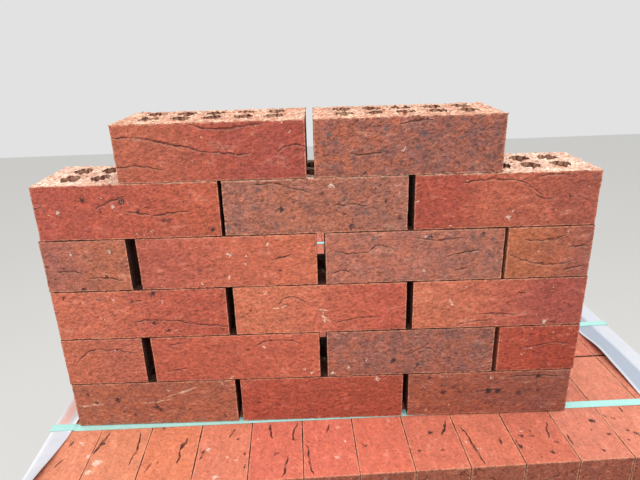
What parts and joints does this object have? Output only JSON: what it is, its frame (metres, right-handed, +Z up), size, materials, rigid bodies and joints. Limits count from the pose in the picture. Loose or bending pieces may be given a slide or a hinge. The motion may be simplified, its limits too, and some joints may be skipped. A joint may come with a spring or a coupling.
{
  "type": "pallet of bricks",
  "caption": "Strapped pack of red perforated facing bricks with fork pockets and plastic edge strips, a small dry-laid brick panel standing on its top.",
  "frame": {"origin": "on the floor, under the middle of the pack", "axes": "+X to the right along the front of the pack, +Y from front to back, +Z up"},
  "size_m": [0.874, 0.872, 1.4307],
  "materials": {
    "brick": "rough fired clay, drag creases, sanded flecks and dark iron spots, pale gritty beds",
    "strap": "pale green polyester strapping with a fine rolled pattern",
    "protector": "pale grey plastic sheet, dull, slightly see-through at its rims"
  },
  "bodies": {
    "root": {"pack_course_01": "brick", "pack_course_02": "brick", "pack_course_03": "brick", "pack_course_04": "brick", "pack_course_05": "brick", "pack_course_06": "brick", "pack_course_07": "brick", "pack_course_08": "brick", "pack_course_09": "brick", "pack_course_10": "brick", "panel_brick_1a": "brick", "panel_brick_1b": "brick", "panel_brick_1c": "brick", "panel_brick_2a": "brick", "panel_brick_2b": "brick", "panel_brick_2c": "brick", "panel_brick_2d": "brick", "panel_brick_3a": "brick", "panel_brick_3b": "brick", "panel_brick_3c": "brick", "panel_brick_4a": "brick", "panel_brick_4b": "brick", "panel_brick_4c": "brick", "panel_brick_4d": "brick", "panel_brick_5a": "brick", "panel_brick_5b": "brick", "panel_brick_5c": "brick", "panel_brick_6a": "brick", "panel_brick_6b": "brick", "strap_1": "strap", "strap_2": "strap", "strap_3": "strap", "strap_4": "strap", "edge_protector_left": "protector", "edge_protector_right": "protector"}
  },
  "joints": []
}
